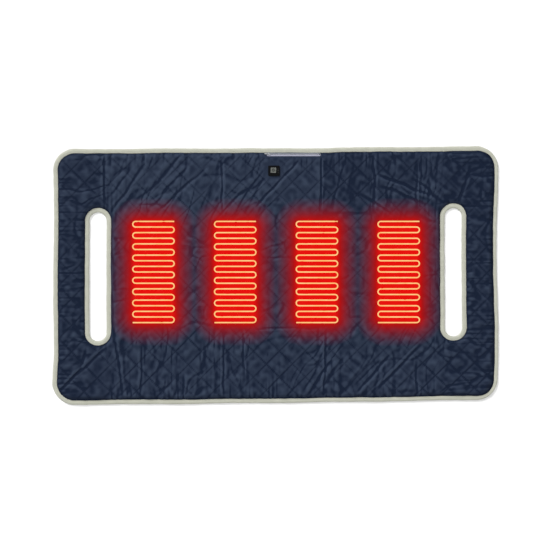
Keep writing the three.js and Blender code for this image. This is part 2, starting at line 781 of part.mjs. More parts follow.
function controller() {
  const group = new THREE.Group();
  group.position.set(CONTROL_X, CONTROL_Y, 0);
  group.add(
    node("controller_bezel", bezel(), COLOURS.black),
    node("button_cap", buttonCap(), COLOURS.lens),
    node("power_symbol", powerSymbol(), COLOURS.black),
    node("switch_plunger", switchPlunger(), COLOURS.black),
    node("level_light_guide", lightGuide(), COLOURS.lens),
    node("controller_back_case", backCase(), COLOURS.black),
    node("circuit_board", circuitBoard(), COLOURS.board),
    node("tact_switch", tactSwitch(), COLOURS.crimp),
  );
  SCREW_SPOTS.forEach((spot, index) => {
    group.add(node(`case_screw_${index + 1}`, caseScrew(spot), COLOURS.zipMetal));
  });
  return group;
}

// ---------------------------------------------------------------- assembly

const group = new THREE.Group();
group.add(
  node("back_shell", backShell(), COLOURS.backNylon),
  node("batting", batting(), COLOURS.batting),
  node("front_shell", frontShell(), COLOURS.faceNylon),
  node("edge_binding", tape(OUTER_RIM, bindingSection()), COLOURS.binding),
  node("left_slot_binding", tape(LEFT_RIM, bindingSection()), COLOURS.binding),
  node("right_slot_binding", tape(RIGHT_RIM, bindingSection()), COLOURS.binding),
  node("feed_harness", feedHarness(), COLOURS.lead),
  node("feed_lead", feedLead(), COLOURS.lead),
  node("thermal_cutout", thermalCutout(), COLOURS.crimp),
  node("return_harness", returnHarness(), COLOURS.lead),
  node("pocket_bag", pocketBag(), COLOURS.lining),
  node("pocket_padding", pocketPadding(), COLOURS.batting),
  node("power_inlet", powerInlet(), COLOURS.black),
  node("inlet_tongue", inletTongue(), COLOURS.zipMetal),
  node("supply_lead", supplyLead(), COLOURS.black),
  zip(),
  controller(),
);

for (let index = 0; index < ELEMENT_COUNT; index += 1) {
  const number = index + 1;
  const heater = new THREE.Group();
  heater.position.x = elementX(index);
  const wire = node(`heating_wire_${number}`, heatingWire(), COLOURS.glowWire);
  wire.position.z = WIRE_Z;
  const feedSplice = node(`feed_splice_${number}`, splice(), COLOURS.crimp);
  feedSplice.position.set(SPLICE_X, FIRST_RUN_Y, WIRE_Z);
  const returnSplice = node(`return_splice_${number}`, splice(), COLOURS.crimp);
  returnSplice.position.set(-SPLICE_X, LAST_RUN_Y, WIRE_Z);
  heater.add(node(`heating_carrier_${number}`, carrier(), COLOURS.carrier), wire, feedSplice, returnSplice);
  group.add(heater);
}

export default group;
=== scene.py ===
import math

import bpy
import bmesh
import numpy as np
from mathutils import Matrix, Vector
from mathutils.bvhtree import BVHTree


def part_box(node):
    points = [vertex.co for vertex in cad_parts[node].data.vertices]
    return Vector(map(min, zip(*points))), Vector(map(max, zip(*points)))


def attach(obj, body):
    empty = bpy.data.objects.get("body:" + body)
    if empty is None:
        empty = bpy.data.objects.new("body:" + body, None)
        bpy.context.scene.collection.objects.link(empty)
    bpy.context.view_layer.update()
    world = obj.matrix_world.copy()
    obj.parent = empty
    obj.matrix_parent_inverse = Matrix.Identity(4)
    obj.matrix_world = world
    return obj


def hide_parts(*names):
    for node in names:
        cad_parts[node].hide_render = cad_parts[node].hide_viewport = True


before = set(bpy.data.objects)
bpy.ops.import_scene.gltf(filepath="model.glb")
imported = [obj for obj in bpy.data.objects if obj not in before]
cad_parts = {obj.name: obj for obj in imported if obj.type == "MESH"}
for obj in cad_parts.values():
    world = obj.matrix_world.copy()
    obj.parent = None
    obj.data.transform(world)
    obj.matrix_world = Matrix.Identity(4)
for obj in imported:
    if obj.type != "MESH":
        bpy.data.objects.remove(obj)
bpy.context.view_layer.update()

# -------------------- places, from the frame

MM = 0.001
BINDING_WIDTH = 15 * MM
FACE_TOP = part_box("front_shell")[1].z
HALF_LENGTH, HALF_WIDTH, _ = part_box("edge_binding")[1]
CORNER_RADIUS = 72 * MM
HEATERS = [f"heating_wire_{number}" for number in (1, 2, 3, 4)]
CONTROL_LOW, CONTROL_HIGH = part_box("controller_bezel")
CONTROL_CENTRE = (CONTROL_LOW + CONTROL_HIGH) / 2
ZIP_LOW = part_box("zip_tape_lower")[0]
ZIP_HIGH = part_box("zip_tape_upper")[1]
GRID = 8.768 * MM  # the cloth's simulated grid; ten cells span one quilted diamond
QUILT = 10 * GRID  # a diamond's width along x and along y
QUILT_SWELL = 1.5 * MM  # a diamond's middle over its seams
QUILT_INSET = 2.5 * MM  # the quilt's own edge, inside the folded tapes
QUILT_UNDERSIDE = 1.0 * MM
HELD_MARGIN = 22 * MM  # how far in from the edges the simulated cloth is held
SIMULATED_SHARE = 0.5  # how much of the simulated relief is kept
RIM_HEIGHT = 2.9 * MM  # the face's height where the tapes hold it down
LOFT = 1.3 * MM  # how far the face stands over the CAD face away from the controller and the zip
DEEPEST = 2.3 * MM  # how far a crease goes down from there
NARROW_CREASE = 1.0 * MM  # a narrow crease of this depth darkens the cloth by a whole step of painted shade
WIDE_CREASE = 14 * MM  # and so does a wide one of this depth
TAPE_SHADE = 0.9  # how much painted shadow darkens the cloth beside the tapes, in the same steps
BACK_THICKNESS = 0.5 * MM
BACK_HEIGHT = 0.35 * MM
BACK_DIMPLE = 0.9 * MM
LINING_INSET = 5 * MM  # the lining's edge, inside the folded tapes
TAPE_STEP = 3.5 * MM  # along the rim, from one ring of the tape to the next
EDGE_TAPE_LENGTH = 4.596
SLOT_TAPE_LENGTH = 0.934
BOTTOM_SLIMMER = 0.08  # how much less of the cloth the tape covers at the bottom than at the top
RIGHT_SLIMMER = 0.24
STITCH_PITCH = 3.6 * MM  # on the tapes
STITCH_INSET = 12.2  # mm, in the tape's section
STITCH_HEIGHT = 5.1
SEAM_STITCH = 4 * MM  # on the quilting
SEAM_THREAD = 0.35 * MM
SEAM_GROOVE = 1.8 * MM
HEATER_RUNS = 19
WIRE_RADIUS = 1.1 * MM
GLOW_REACH = 100 * MM  # from the glow's core to where it ends
GLOW_CORE_INSET = 22 * MM  # the core's edge, inside the heater's
GLOW_HALF_WIDTH = 2.25 * MM
GLOW_HALF_HEIGHT = 0.8 * MM
ZIP_TAPE_SHOWN = 5.7 * MM
ZIP_TUCK = 6 * MM
ZIP_TAPE_THICKNESS = 0.5 * MM
ZIP_SLOPE = math.radians(35)
ZIP_HALF_WIDTH = 7 * MM
ZIP_CAD_TAPE = 0.9 * MM  # thickness of the CAD's zip tapes, which lie on the zip's own plane
ZIP_MIDDLE_Y = ZIP_LOW.y + ZIP_HALF_WIDTH * math.cos(ZIP_SLOPE)
ZIP_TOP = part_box("zip_tape_lower")[1].z
ZIP_MIDDLE_Z = ZIP_TOP - ZIP_HALF_WIDTH * math.sin(ZIP_SLOPE) - ZIP_CAD_TAPE * math.cos(ZIP_SLOPE)
TOOTH_PITCH = 4 * MM
LENGTH_SHARE = 0.8049002  # the blanket's length as a share of the picture's width


class Slot:
    """A hand slot: a stadium-shaped opening through the quilt."""

    def __init__(self, binding_node):
        low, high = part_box(binding_node)
        self.centre = (low + high) / 2
        self.radius = (high.x - low.x) / 2 - BINDING_WIDTH
        self.straight = (high.y - low.y) / 2 - BINDING_WIDTH - self.radius

    def inset(self, x, y):
        """How far a point is from the slot's edge, into the cloth."""
        past_straight = np.maximum(np.abs(y - self.centre.y) - self.straight, 0)
        return np.hypot(x - self.centre.x, past_straight) - self.radius


LEFT_SLOT = Slot("left_slot_binding")
RIGHT_SLOT = Slot("right_slot_binding")


def outer_inset(x, y):
    """How far a point is inside the blanket's outside edge."""
    over_x = np.abs(x) - (HALF_LENGTH - CORNER_RADIUS)
    over_y = np.abs(y) - (HALF_WIDTH - CORNER_RADIUS)
    corner = np.hypot(np.maximum(over_x, 0), np.maximum(over_y, 0))
    return CORNER_RADIUS - corner - np.minimum(np.maximum(over_x, over_y), 0)


def inset(x, y):
    """How far a point is from the nearest edge, the slots' edges among them."""
    slots = np.minimum(LEFT_SLOT.inset(x, y), RIGHT_SLOT.inset(x, y))
    return np.minimum(outer_inset(x, y), slots)


# -------------------- noise and blends


def smooth(low, high, value):
    """0 below low, 1 above high and a smooth step in between."""
    share = np.clip((value - low) / (high - low), 0, 1)
    return share * share * (3 - 2 * share)


def noise(x, y, seed):
    """Smooth random values from -1 to 1 that change over about one unit."""
    size = 64
    lattice = np.random.default_rng(seed).uniform(-1, 1, (size, size))
    column = np.floor(x).astype(int)
    row = np.floor(y).astype(int)
    fx = smooth(0, 1, x - column)
    fy = smooth(0, 1, y - row)
    near = lattice[row % size, column % size]
    right = lattice[row % size, (column + 1) % size]
    above = lattice[(row + 1) % size, column % size]
    across = lattice[(row + 1) % size, (column + 1) % size]
    return (near * (1 - fx) + right * fx) * (1 - fy) + (above * (1 - fx) + across * fx) * fy


def streaks(x, y, angle, length, width, seed):
    """Long thin wrinkles that run at an angle: 1 along a wrinkle and 0 between them."""
    along = x * math.cos(angle) + y * math.sin(angle)
    across = -x * math.sin(angle) + y * math.cos(angle)
    bend = 0.5 * width * noise(along / (0.4 * length), across / length, seed + 50)
    value = noise(along / length, (across + bend) / width, seed)
    present = smooth(-0.15, 0.35, noise(along / (0.7 * length), across / (1.6 * width), seed + 90))
    return (1 - np.abs(value) * 2.9).clip(0, 1) ** 1.4 * present


# -------------------- how the quilt lies


TOP_LEAN, TOP_BOW, TOP_LIFT = 5.0 * MM, 1.0 * MM, 1.0 * MM
BOTTOM_LEAN, BOTTOM_BOW = 9.0 * MM, 2.2 * MM
LONG_EDGE_RIPPLE, END_RIPPLE = 0.9 * MM, 1.3 * MM
LEFT_BULGE = 5 * MM  # the left edge bulges near its lower corner
RIGHT_BOW = 4.6 * MM  # the right edge runs in just above its middle, and out on both sides of there


def lay(x, y):
    """Where a point of the square blanket lies. Its edges lean by up to 11 mm, and bow and ripple."""
    across = np.clip(x / HALF_LENGTH, -1, 1)
    up = np.clip(y / HALF_WIDTH, -1, 1)
    top = TOP_LEAN * across + TOP_BOW * across**2 + TOP_LIFT
    bottom = BOTTOM_LEAN * across + BOTTOM_BOW * across**2
    shift_y = np.where(up > 0, top, bottom) * np.abs(up) ** 1.6
    shift_y += LONG_EDGE_RIPPLE * np.sin(x / 0.055 + 2 * up) * np.abs(up) ** 6
    shift_x = END_RIPPLE * np.sin(y / 0.075 + across) * np.abs(across) ** 6
    left_bulge = -LEFT_BULGE * np.exp(-(((y + 0.355) / 0.06) ** 2))
    right_bow = -RIGHT_BOW * np.cos(math.pi * (y - 0.075) / 0.285) * (1 - np.abs(up) ** 8)
    shift_x += np.where(across < 0, left_bulge, right_bow) * across**6
    by_zip = smooth(0.32, 0.37, y) * smooth(ZIP_LOW.x - 0.06, ZIP_LOW.x - 0.02, x)
    by_zip *= smooth(ZIP_HIGH.x + 0.05, ZIP_HIGH.x + 0.01, x)
    return x + shift_x * (1 - by_zip), y + shift_y * (1 - by_zip)


FOLDS = [
    # from and to in m, depth and width in mm, and which side is raised: storage folds and long creases
    ((-0.579, 0.420), (-0.577, 0.236), 2.6, 7, 1),
    ((-0.548, -0.160), (-0.516, -0.411), 2.0, 8, -1),
    ((-0.454, -0.235), (-0.456, -0.411), 2.2, 7, 1),
    ((-0.181, 0.395), (-0.181, 0.206), 2.6, 6, -1),
    ((-0.066, 0.231), (0.083, 0.395), 3.2, 7, 1),
    ((-0.178, -0.185), (-0.174, -0.420), 2.4, 6, 1),
    ((-0.107, -0.180), (-0.110, -0.360), 1.8, 6, -1),
    ((0.168, -0.185), (0.164, -0.415), 2.6, 6, 1),
    ((0.1525, 0.405), (0.1525, 0.200), 3.0, 5, -1),
    ((0.332, 0.415), (0.332, 0.206), 2.6, 7, -1),
    ((0.486, 0.385), (0.487, 0.235), 2.2, 7, 1),
    ((-0.066, -0.178), (0.170, -0.176), 1.8, 6, 1),
    ((-0.574, -0.242), (-0.733, -0.391), 3.2, 8, 1),
    ((0.385, -0.268), (0.268, -0.405), 2.6, 9, -1),
    ((0.485, -0.235), (0.335, -0.400), 2.6, 9, 1),
    ((-0.560, 0.205), (-0.435, 0.385), 2.0, 10, 1),
    ((-0.425, 0.225), (-0.285, 0.385), 2.0, 10, -1),
    ((-0.400, 0.215), (-0.225, 0.375), 1.8, 9, 1),
    ((0.345, 0.335), (0.545, 0.262), 2.8, 9, 1),
    ((0.360, 0.300), (0.520, 0.235), 2.2, 9, -1),
    ((0.620, 0.245), (0.655, 0.365), 1.8, 9, 1),
    ((-0.640, -0.240), (-0.665, -0.330), 1.8, 9, -1),
]
FOLD_WANDER = 3.5 * MM  # how far a fold strays from its straight line
FOLD_LIP = 0.40  # the lip's height as a share of the valley's depth


def fold_relief(x, y):
    """The height that the long creases add: a valley with one raised lip."""
    relief = np.zeros_like(x)
    for number, (start, end, depth, width, side) in enumerate(FOLDS):
        run_x, run_y = end[0] - start[0], end[1] - start[1]
        length = math.hypot(run_x, run_y)
        along = ((x - start[0]) * run_x + (y - start[1]) * run_y) / length
        across = ((x - start[0]) * run_y - (y - start[1]) * run_x) / length
        across = across + FOLD_WANDER * noise(along / 0.045, along * 0, 300 + number)
        half = width * MM / 2
        ends = smooth(-0.01, 0.03, along) * smooth(-0.01, 0.05, length - along)
        valley = -depth * MM * np.exp(-((across / half) ** 2))
        lip = FOLD_LIP * depth * MM * np.exp(-(((across - side * 1.9 * half) / (1.5 * half)) ** 2))
        relief += ends * (valley + lip)
    return relief


PUCKER_HEIGHT = 1.5 * MM
PUCKER_SPACING = 0.016
PUCKER_LENGTH = 0.12


def edge_puckers(x, y, distance):
    """Short gathers that run square to each bound edge and die out in the cloth."""
    near_end = smooth(0.55, 0.62, np.abs(x))
    on_long_edge = noise(x / PUCKER_SPACING, y / PUCKER_LENGTH, 11)
    on_end = noise(y / PUCKER_SPACING, x / PUCKER_LENGTH, 12)
    across = on_long_edge * (1 - near_end) + on_end * near_end
    reach = 0.030 + 0.028 * noise(x / 0.05, y / 0.05, 13)
    gathers = 0.25 - 1.5 * (1 - np.abs(across) * 3).clip(0, 1)
    return PUCKER_HEIGHT * gathers * np.exp(-np.maximum(distance - 0.018, 0) / reach)


WRINKLES = [
    # depth in mm, angle in degrees, length and spacing in mm, and the part of the quilt it belongs to
    (3.0, 50, 260, 40, "top left"),
    (1.9, 60, 170, 26, "top left"),
    (2.0, 86, 200, 34, "bottom left"),
    (1.6, 46, 160, 36, "bottom left"),
    (2.8, -34, 200, 36, "top right"),
    (1.9, 82, 170, 30, "top right"),
    (2.8, 47, 260, 42, "bottom right"),
    (1.6, 88, 160, 36, "bottom right"),
    (1.7, 8, 110, 30, "ends"),
    (1.2, -30, 110, 40, "ends"),
    (1.3, 84, 110, 17, "top right"),
    (1.2, 70, 120, 18, "top left"),
    (1.2, 88, 110, 16, "bottom left"),
    (1.2, 55, 120, 18, "bottom right"),
    (1.5, 38, 80, 34, "middle"),
    (1.3, -42, 70, 34, "middle"),
    (1.4, 3, 130, 40, "middle"),
    (1.2, 2, 140, 46, "everywhere"),
    (1.2, 92, 150, 46, "everywhere"),
]
WRINKLE_STRENGTH = 1.25


def part_of_quilt(x, y, part):
    """1 in the named part of the quilt, and 0 away from it."""
    above = smooth(0.12, 0.20, y)
    below = smooth(-0.12, -0.19, y)
    ends = smooth(0.52, 0.60, np.abs(x))
    parts = {
        "top left": above * smooth(0.02, -0.10, x) * (1 - ends),
        "bottom left": below * smooth(0.08, -0.06, x) * (1 - ends),
        "top right": above * smooth(0.10, 0.20, x) * (1 - ends),
        "bottom right": below * smooth(0.0, 0.12, x) * (1 - ends),
        "ends": ends,
        "middle": (1 - above) * (1 - below) * (1 - ends),
        "everywhere": np.ones_like(x),
    }
    return parts[part]


def wrinkle_relief(x, y, distance):
    """Random wrinkles, each family in the part of the quilt where it lies, on slightly uneven cloth."""
    relief = 0.4 * noise(x / 0.055, y / 0.055, 31) + 0.1 * noise(x / 0.022, y / 0.022, 32)
    for number, (depth, angle, length, spacing, part) in enumerate(WRINKLES):
        lines = streaks(x, y, math.radians(angle), length * MM, spacing * MM, 400 + number)
        relief -= WRINKLE_STRENGTH * depth * lines * part_of_quilt(x, y, part)
    return relief * MM * smooth(0.012, 0.035, distance)


def painted_panel_shading(x, y):
    """Painted light and shade of whole panels, for how the light falls across them: lighter above the
    heaters, darker beyond the pocket and at the ends.
    """
    above = smooth(0.17, 0.21, y)
    beyond_pocket = smooth(0.150, 0.155, x) * above
    strips = smooth(0.55, 0.60, np.abs(x))
    last_panel = smooth(0.484, 0.490, x) * above
    fold_panel = (smooth(-0.579, -0.575, x) - smooth(-0.183, -0.179, x)) * above
    return 0.10 * above - 0.34 * beyond_pocket + 0.12 * last_panel + 0.06 * fold_panel - 0.22 * strips


def calm(x, y):
    """0 where the cloth is held flat, round the controller and along the zip, and 1 elsewhere."""
    patch_half_x, patch_half_y, zip_margin = 0.021, 0.019, 0.006
    beside_x = np.maximum(np.abs(x - CONTROL_CENTRE.x) - patch_half_x, 0)
    beside_y = np.maximum(np.abs(y - CONTROL_CENTRE.y) - patch_half_y, 0)
    controller = smooth(0.0, 0.022, np.hypot(beside_x, beside_y))
    along_zip = smooth(0.0, 0.02, np.maximum(ZIP_LOW.x - zip_margin - x, x - ZIP_HIGH.x - zip_margin))
    below_zip = smooth(0.0, 0.02, ZIP_LOW.y - y)
    return controller * np.maximum(along_zip, below_zip)


def pillow_profile(distance):
    """The height of the face without its relief, from the tape inwards."""
    rise = smooth(0.0135, 0.028, distance)
    return RIM_HEIGHT + (FACE_TOP - RIM_HEIGHT) * rise**0.8


# -------------------- cloth


def grid_lines(origin, half):
    """The grid's lines between -half and half, one of which runs through the origin."""
    first = math.ceil((-half - origin) / GRID)
    last = math.floor((half - origin) / GRID)
    return origin + np.arange(first, last + 1) * GRID


def grid_cloth(name, keep):
    """A flat sheet of square cells, lined up with the zip, of the cells whose corners are kept."""
    x, y = np.meshgrid(grid_lines(ZIP_LOW.x, HALF_LENGTH), grid_lines(ZIP_LOW.y, HALF_WIDTH))
    kept = keep(x, y)
    number = -np.ones(x.shape, int)
    number[kept] = np.arange(kept.sum())
    corners = [number[:-1, :-1], number[:-1, 1:], number[1:, 1:], number[1:, :-1]]
    faces = np.stack([c.ravel() for c in corners], axis=1)
    faces = faces[(faces >= 0).all(axis=1)]
    used = np.unique(faces)
    renumber = -np.ones(kept.sum(), int)
    renumber[used] = np.arange(len(used))
    points = np.stack([x[kept], y[kept], np.zeros(kept.sum())], axis=1)[used]
    return new_piece(name, points, renumber[faces].tolist())


def new_piece(name, points, faces):
    """A piece made of points and faces, in the scene."""
    mesh = bpy.data.meshes.new(name)
    mesh.from_pydata(np.asarray(points).tolist(), [], faces)
    piece = bpy.data.objects.new(name, mesh)
    bpy.context.scene.collection.objects.link(piece)
    return piece


def get_points(piece):
    """The piece's points, a row each."""
    points = np.zeros(len(piece.data.vertices) * 3)
    piece.data.vertices.foreach_get("co", points)
    return points.reshape(-1, 3)


def set_points(piece, points):
    """Moves the piece's points."""
    piece.data.vertices.foreach_set("co", points.ravel())
    piece.data.update()


def shade_smooth(piece):
    """Shades the piece as a curved surface."""
    piece.data.polygons.foreach_set("use_smooth", [True] * len(piece.data.polygons))


def apply_modifiers(piece):
    """Replaces the piece's mesh by the one its modifiers make."""
    graph = bpy.context.evaluated_depsgraph_get()
    made = bpy.data.meshes.new_from_object(piece.evaluated_get(graph))
    piece.modifiers.clear()
    old = piece.data
    piece.data = made
    bpy.data.meshes.remove(old)


def subdivide(piece):
    """Splits each face in four and rounds the result."""
    piece.modifiers.new("fine", "SUBSURF").levels = 1
    apply_modifiers(piece)


def on_stitches(x, y):
    """Where the quilting's two families of diagonal seams run through the grid's points."""
    off = [np.abs(turns - np.round(turns)) * QUILT for turns in ((x + y) / QUILT, (x - y) / QUILT)]
    return np.minimum(*off) < 0.3 * GRID


def simulate_quilt(cloth):
    """Blows the slightly oversized face cloth up between its seams, so that it gathers there."""
    points = get_points(cloth)
    x, y = points[:, 0] - ZIP_LOW.x, points[:, 1] - ZIP_LOW.y
    distance = inset(points[:, 0], points[:, 1])
    calm_here = calm(points[:, 0], points[:, 1])
    held = on_stitches(x, y) | (distance < HELD_MARGIN) | (calm_here < 0.4)
    group = cloth.vertex_groups.new(name="held")
    group.add(np.flatnonzero(held).tolist(), 1.0, "REPLACE")
    jitter = 0.6 * MM * noise(points[:, 0] / 0.02, points[:, 1] / 0.02, 41)
    points[:, 2] = np.where(held, 0, 0.4 * MM + jitter)
    set_points(cloth, points)
    modifier = cloth.modifiers.new("cloth", "CLOTH")
    settings = modifier.settings
    settings.quality = 4
    settings.mass = 0.15
    settings.tension_stiffness = 12
    settings.compression_stiffness = 12
    settings.shear_stiffness = 4
    settings.bending_stiffness = 0.25
    settings.air_damping = 2
    settings.vertex_group_mass = "held"
    settings.shrink_min = -0.045
    settings.use_pressure = True
    settings.uniform_pressure_force = 1.2
    settings.effector_weights.gravity = 0
    modifier.collision_settings.use_collision = False
    modifier.collision_settings.use_self_collision = False
    frames = 16
    modifier.point_cache.frame_start = 1
    modifier.point_cache.frame_end = frames
    for number in range(1, frames + 1):
        bpy.context.scene.frame_set(number)
    apply_modifiers(cloth)
    moved = get_points(cloth)
    farthest, lowest, highest = 7 * MM, -2 * MM, 9 * MM
    moved[:, :2] = points[:, :2] + np.clip(moved[:, :2] - points[:, :2], -farthest, farthest)
    moved[:, 2] = np.clip(moved[:, 2], lowest, highest)
    set_points(cloth, moved)


def smoothed(piece, values, rounds):
    """A value at each point, averaged again and again with its neighbours' values."""
    edges = np.zeros(len(piece.data.edges) * 2, int)
    piece.data.edges.foreach_get("vertices", edges)
    first, second = edges.reshape(-1, 2).T
    count = len(values)
    neighbours = np.bincount(first, minlength=count) + np.bincount(second, minlength=count)
    for _ in range(rounds):
        total = np.bincount(first, values[second], count) + np.bincount(second, values[first], count)
        values = (values + total / neighbours) / 2
    return values


def store(piece, name, values):
    """Keeps a value per point for the material to read."""
    attribute = piece.data.attributes.new(name, "FLOAT", "POINT")
    attribute.data.foreach_set("value", values)


def store_flat_place(piece, x, y):
    """Keeps where each point was on the flat cloth, measured from the quilting's origin."""
    attribute = piece.data.attributes.new("flat", "FLOAT_VECTOR", "POINT")
    flat = np.stack([x - ZIP_LOW.x, y - ZIP_LOW.y, x * 0], axis=1)
    attribute.data.foreach_set("vector", flat.ravel())


def close_below(piece, height):
    """Makes an open cloth a closed pad, with a wall under each of its edges and a flat underside."""
    body = bmesh.new()
    body.from_mesh(piece.data)
    rim = [edge for edge in body.edges if edge.is_boundary]
    made = bmesh.ops.extrude_edge_only(body, edges=rim)["geom"]
    for vertex in made:
        if isinstance(vertex, bmesh.types.BMVert):
            vertex.co.z = height
    lower_rim = [edge for edge in made if isinstance(edge, bmesh.types.BMEdge)]
    bmesh.ops.triangle_fill(body, use_beauty=True, edges=lower_rim, normal=(0, 0, -1))
    bmesh.ops.recalc_face_normals(body, faces=body.faces)
    body.to_mesh(piece.data)
    body.free()


def make_quilt():
    """The quilted body: its face with the seams, folds and wrinkles, closed under the batting."""

    def keep(x, y):
        """Where there is cloth, with the zip's gap left open."""
        hair = 1e-4
        zip_gap = (x > ZIP_LOW.x + hair) & (x < ZIP_HIGH.x - hair) & (y > ZIP_LOW.y + hair)
        return (inset(x, y) > QUILT_INSET) & ~zip_gap

    quilt = grid_cloth("quilt", keep)
    simulate_quilt(quilt)
    subdivide(quilt)
    points = get_points(quilt)
    x, y = points[:, 0].copy(), points[:, 1].copy()
    distance = inset(x, y)
    quiet = calm(x, y)
    relief = SIMULATED_SHARE * points[:, 2] + quilting(x, y)
    relief += fold_relief(x, y) + wrinkle_relief(x, y, distance)
    relief *= quiet * smooth(0.010, 0.034, distance)
    relief += edge_puckers(x, y, distance) * quiet
    # painted shade in the creases and painted light on the ridges: the relief's height over its smoothed
    # height, near and far
    narrow = (relief - smoothed(quilt, relief, 6)) / NARROW_CREASE
    wide = (relief - smoothed(quilt, relief, 70)) / WIDE_CREASE
    # painted shadow: a dark line on the cloth just inside the tapes
    painted_tape_shadow = TAPE_SHADE * smooth(0.0195, 0.0155, distance)
    # the painted light and shade that the face's material reads: creases, panels and the painted shadow
    # beside the tapes
    store(quilt, "painted_light_and_shade", narrow + wide + painted_panel_shading(x, y) - painted_tape_shadow)
    store_flat_place(quilt, x, y)
    base = pillow_profile(distance) + LOFT * quiet * smooth(0.018, 0.040, distance)
    z = np.maximum(base + relief, base - DEEPEST)
    x, y = lay(x, y)
    set_points(quilt, np.stack([x, y, z], axis=1))
    close_below(quilt, QUILT_UNDERSIDE)
    shade_smooth(quilt)
    return quilt


def draw_to_rim(piece, depth):
    """Moves a sheet's stepped outline onto a smooth line at one depth inside the edges."""
    body = bmesh.new()
    body.from_mesh(piece.data)
    outline = np.array([point.index for point in body.verts if point.is_boundary])
    body.free()
    points = get_points(piece)
    x, y = points[outline, 0].copy(), points[outline, 1].copy()
    too_far_in = inset(x, y) - depth
    step = 0.05 * MM
    points[outline, 0] -= too_far_in * (inset(x + step, y) - inset(x - step, y)) / (2 * step)
    points[outline, 1] -= too_far_in * (inset(x, y + step) - inset(x, y - step)) / (2 * step)
    set_points(piece, points)


def make_back():
    """The back lining: a thin sheet that the blanket lies on, dimpled by the quilting, inside the tapes."""
    back = grid_cloth("back_lining", lambda x, y: inset(x, y) > LINING_INSET)
    draw_to_rim(back, LINING_INSET)
    points = get_points(back)
    x, y = points[:, 0].copy(), points[:, 1].copy()
    sag = BACK_DIMPLE * (1 - seam_distance(x, y)) + 0.3 * MM * noise(x / 0.03, y / 0.03, 61)
    inside_tape = 0.5 * MM * smooth(0.0170, 0.0135, inset(x, y))
    z = BACK_HEIGHT + np.maximum(BACK_DIMPLE - sag, 0) * 0.3 + inside_tape
    x, y = lay(x, y)
    set_points(back, np.stack([x, y, z], axis=1))
    solid = back.modifiers.new("thick", "SOLIDIFY")
    solid.thickness = BACK_THICKNESS
    solid.offset = 0
    apply_modifiers(back)
    shade_smooth(back)
    return back


def seam_distance(x, y):
    """0 on a quilting seam and 1 in the middle of a diamond."""
    u = np.abs(np.sin(math.pi * (x - ZIP_LOW.x + y - ZIP_LOW.y) / QUILT))
    v = np.abs(np.sin(math.pi * (x - ZIP_LOW.x - y + ZIP_LOW.y) / QUILT))
    return u * v


def quilting(x, y):
    """The diamonds' swell over the seams, stronger in some places than in others."""
    strength = 0.75 + 0.6 * noise(x / 0.11, y / 0.11, 62) + 0.3 * smooth(0.10, -0.20, y)
    return QUILT_SWELL * strength * (seam_distance(x, y) ** 0.3 - 0.8)


# -------------------- swept pieces


def rim_path(half_x, half_y, radius, centre, step):
    """Points round a rounded rectangle, about a step apart, and the directions inwards, square to it."""
    points, inward = [], []
    for quarter in range(4):
        turn = quarter * math.pi / 2
        reach_x, reach_y = (half_x, half_y) if quarter % 2 == 0 else (half_y, half_x)
        corner = np.array([reach_x - radius, reach_y - radius])
        run = 2 * corner[1]
        runs = max(int(run / step), 1)
        flat = [(reach_x, -corner[1] + run * i / runs, 0.0) for i in range(runs)]
        arcs = max(int(radius * math.pi / 2 / step), 6)
        for i in range(arcs):
            angle = math.pi / 2 * i / arcs
            flat.append((corner[0] + radius * math.cos(angle), corner[1] + radius * math.sin(angle), angle))
        for px, py, angle in flat:
            points.append(rotate(px, py, turn))
            inward.append(rotate(-math.cos(angle), -math.sin(angle), turn))
    return np.array(points) + np.array(centre), np.array(inward)


def rotate(x, y, angle):
    """A point turned round the middle."""
    return x * math.cos(angle) - y * math.sin(angle), x * math.sin(angle) + y * math.cos(angle)


def ring_tube(name, rings, closed):
    """A skin over rings of equally many points, joined end to end if closed, and capped if not."""
    rings = np.asarray(rings)
    stations, around = rings.shape[:2]
    faces = []
    for station in range(stations if closed else stations - 1):
        here, after = station * around, (station + 1) % stations * around
        for i in range(around):
            j = (i + 1) % around
            faces.append((here + i, here + j, after + j, after + i))
    piece = new_piece(name, rings.reshape(-1, 3), faces)
    body = bmesh.new()
    body.from_mesh(piece.data)
    bmesh.ops.holes_fill(body, edges=[edge for edge in body.edges if edge.is_boundary], sides=0)
    bmesh.ops.recalc_face_normals(body, faces=body.faces)
    body.to_mesh(piece.data)
    body.free()
    shade_smooth(piece)
    return piece


TAPE_SECTION = [
    # inset from the rim and height, in mm: round the outside of the fold, then back inside it
    (14.6, 0.0), (8.0, 0.0), (2.6, 0.1), (0.7, 0.7), (0.0, 1.9), (0.2, 3.5), (1.3, 4.7), (3.4, 5.5),
    (6.5, 5.9), (9.8, 5.7), (12.2, 4.9), (13.2, 5.2), (14.6, 4.6), (15.4, 3.9), (15.5, 3.2), (14.8, 2.6),
    (11.0, 3.9), (5.0, 4.4), (1.6, 3.4), (1.0, 1.9), (2.8, 0.9), (8.0, 0.7), (14.6, 0.7),
]
FACE_SIDE = 2.5  # mm, the section's points above this height are on the face's side


def on_tape(point, inward, station, seed, depth, height):
    """Points at a depth and height of the folded tape, which puffs, wanders and gathers at its stitching."""
    puff = 1 + 0.13 * noise(station / 0.045, station * 0, seed)
    wander = 1 + 0.05 * noise(station / 0.06, station * 0, seed + 1)
    gather = 0.30 * MM * noise(station / 0.007, station * 0, seed + 2)
    slimmer = BOTTOM_SLIMMER * smooth(-0.36, -0.42, point[:, 1])
    slimmer += RIGHT_SLIMMER * smooth(0.68, 0.74, point[:, 0])
    cover = 1 - slimmer * (height > FACE_SIDE)
    reach = depth * MM * wander * cover + 0.5 * MM * noise(station / 0.02, station * 0 + 1, seed + 3)
    lift = height * MM * (puff if height > 2.6 else 1) + (gather if height > 3.0 else 0)
    spot = point + inward * reach[:, None]
    x, y = lay(spot[:, 0], spot[:, 1])
    return np.stack([x, y, lift + station * 0], axis=1)


